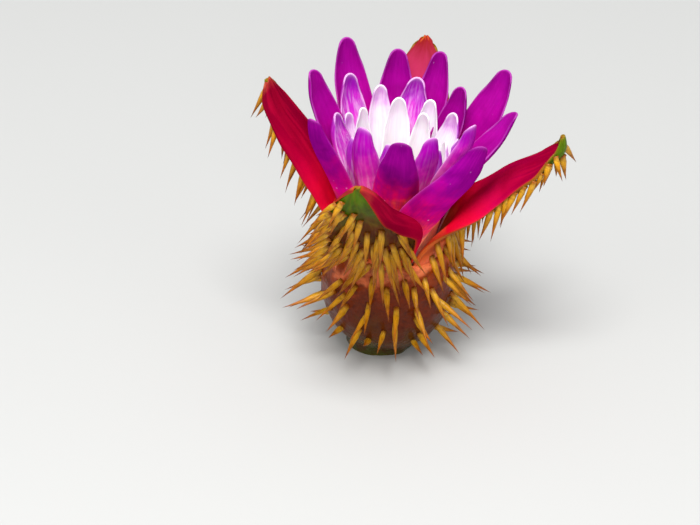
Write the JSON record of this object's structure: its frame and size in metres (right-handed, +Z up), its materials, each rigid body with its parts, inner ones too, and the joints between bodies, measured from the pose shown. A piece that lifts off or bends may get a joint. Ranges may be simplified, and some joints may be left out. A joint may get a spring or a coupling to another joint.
{
  "type": "prickly water lily flower",
  "caption": "Open prickly water lily flower with hooked red sepals, whorls of violet and white petals and a spiny ovary, picked and standing on its cut stalk.",
  "frame": {"origin": "middle of the flat cut face of the stalk, on the surface that the flower stands on", "axes": "+Z up from the cut end through the flower, which leans 4.6 degrees to +X and 3.2 degrees to -Y; -Y is the side that faces the viewer, +X is the viewer's right"},
  "size_m": [0.0507, 0.0514, 0.0501],
  "materials": {
    "ovary_skin": "smooth, damp, brown-red skin with golden prickles",
    "sepal_red": "saturated crimson inside, green to red-brown outside, with golden prickles",
    "petal_magenta": "silky saturated magenta-violet with darker blotches and pale rims",
    "petal_violet": "silky violet streaked with white",
    "petal_white": "bright translucent white with faint violet streaks",
    "stamen_cream": "cream to pale yellow, matt",
    "stigma_red": "soft dark pink-red, finely rayed"
  },
  "bodies": {
    "root": {"ovary": "ovary_skin", "stigma_disc": "stigma_red", "sepal_right": "sepal_red", "sepal_back": "sepal_red", "sepal_left": "sepal_red", "sepal_front": "sepal_red", "petal_outer_1": "petal_magenta", "petal_outer_2": "petal_magenta", "petal_outer_3": "petal_magenta", "petal_outer_4": "petal_magenta", "petal_outer_5": "petal_magenta", "petal_outer_6": "petal_magenta", "petal_outer_7": "petal_magenta", "petal_outer_8": "petal_magenta", "petal_outer_9": "petal_magenta", "petal_second_1": "petal_violet", "petal_second_2": "petal_violet", "petal_second_3": "petal_violet", "petal_second_4": "petal_violet", "petal_second_5": "petal_violet", "petal_second_6": "petal_violet", "petal_second_7": "petal_violet", "petal_second_8": "petal_violet", "petal_third_1": "petal_white", "petal_third_2": "petal_white", "petal_third_3": "petal_white", "petal_third_4": "petal_white", "petal_third_5": "petal_white", "petal_third_6": "petal_white", "petal_third_7": "petal_white", "petal_third_8": "petal_white", "petal_inner_1": "petal_white", "petal_inner_2": "petal_white", "petal_inner_3": "petal_white", "petal_inner_4": "petal_white", "petal_inner_5": "petal_white", "petal_inner_6": "petal_white", "petal_inner_7": "petal_white", "petal_inner_8": "petal_white", "stamen_1": "stamen_cream", "stamen_2": "stamen_cream", "stamen_3": "stamen_cream", "stamen_4": "stamen_cream", "stamen_5": "stamen_cream", "stamen_6": "stamen_cream", "stamen_7": "stamen_cream", "stamen_8": "stamen_cream", "stamen_9": "stamen_cream", "stamen_10": "stamen_cream", "stamen_11": "stamen_cream", "stamen_12": "stamen_cream", "stamen_13": "stamen_cream", "stamen_14": "stamen_cream", "stamen_15": "stamen_cream", "stamen_16": "stamen_cream", "stamen_17": "stamen_cream", "stamen_18": "stamen_cream"}
  },
  "joints": []
}
